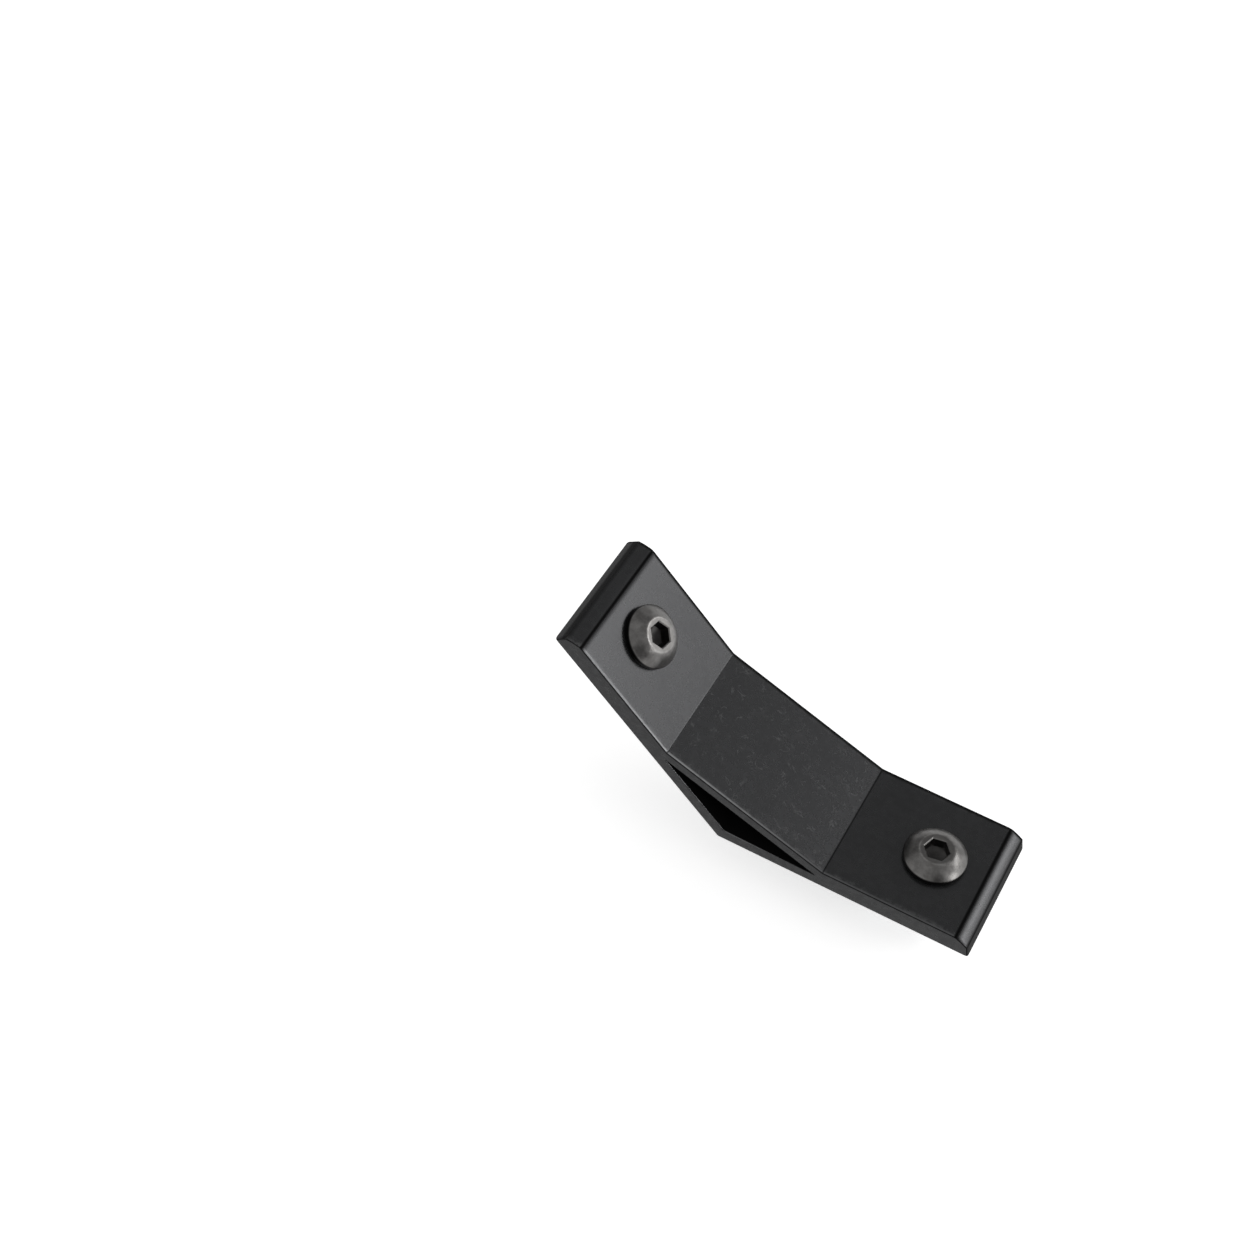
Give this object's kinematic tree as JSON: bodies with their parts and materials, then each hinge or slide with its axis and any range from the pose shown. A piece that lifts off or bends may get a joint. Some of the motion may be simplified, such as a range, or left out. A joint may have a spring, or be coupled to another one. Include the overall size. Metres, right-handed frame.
{
  "type": "angle bracket",
  "caption": "Black extruded bracket for slotted bars that meet at 135 degrees, with hollow web, rounded noses, button head socket screws and slot nuts.",
  "frame": {"origin": "the inside corner, halfway across the bracket, where the planes of both seats meet", "axes": "+X out along the lower seat, +Z square off it, +Y across the bracket; the upper seat leans back 45 degrees from the corner"},
  "size_m": [0.1001, 0.0306, 0.0548],
  "materials": {
    "black_anodised": "black anodised aluminium, satin with a fine grain",
    "black_oxide": "black oxide on alloy steel, warm dark grey",
    "zinc_plate": "zinc plated steel, satin"
  },
  "bodies": {
    "bracket": {"bracket": "black_anodised"},
    "lower_screw": {"lower_screw": "black_oxide"},
    "upper_screw": {"upper_screw": "black_oxide"},
    "lower_nut": {"lower_nut": "zinc_plate"},
    "upper_nut": {"upper_nut": "zinc_plate"}
  },
  "joints": [
    {"name": "lower_screw_turn", "type": "hinge", "parent": "bracket", "child": "lower_screw", "pos_m": [0.0426, 0, 0.005], "axis": [0, 0, 1], "range_deg": [0, 720]},
    {"name": "lower_nut_travel", "type": "slide", "parent": "bracket", "child": "lower_nut", "axis": [0, 0, -1], "range_m": [0, 0.0029]},
    {"name": "upper_screw_turn", "type": "hinge", "parent": "bracket", "child": "upper_screw", "pos_m": [-0.02659, 0, 0.03366], "axis": [0.7071, 0, 0.7071], "range_deg": [0, 720]},
    {"name": "upper_nut_travel", "type": "slide", "parent": "bracket", "child": "upper_nut", "axis": [-0.7071, 0, -0.7071], "range_m": [0, 0.0029]}
  ],
  "couplings": [
    {"joint": "lower_nut_travel", "follows": "lower_screw_turn", "m_per_rad": 0.00022459},
    {"joint": "upper_nut_travel", "follows": "upper_screw_turn", "m_per_rad": 0.00022459}
  ]
}
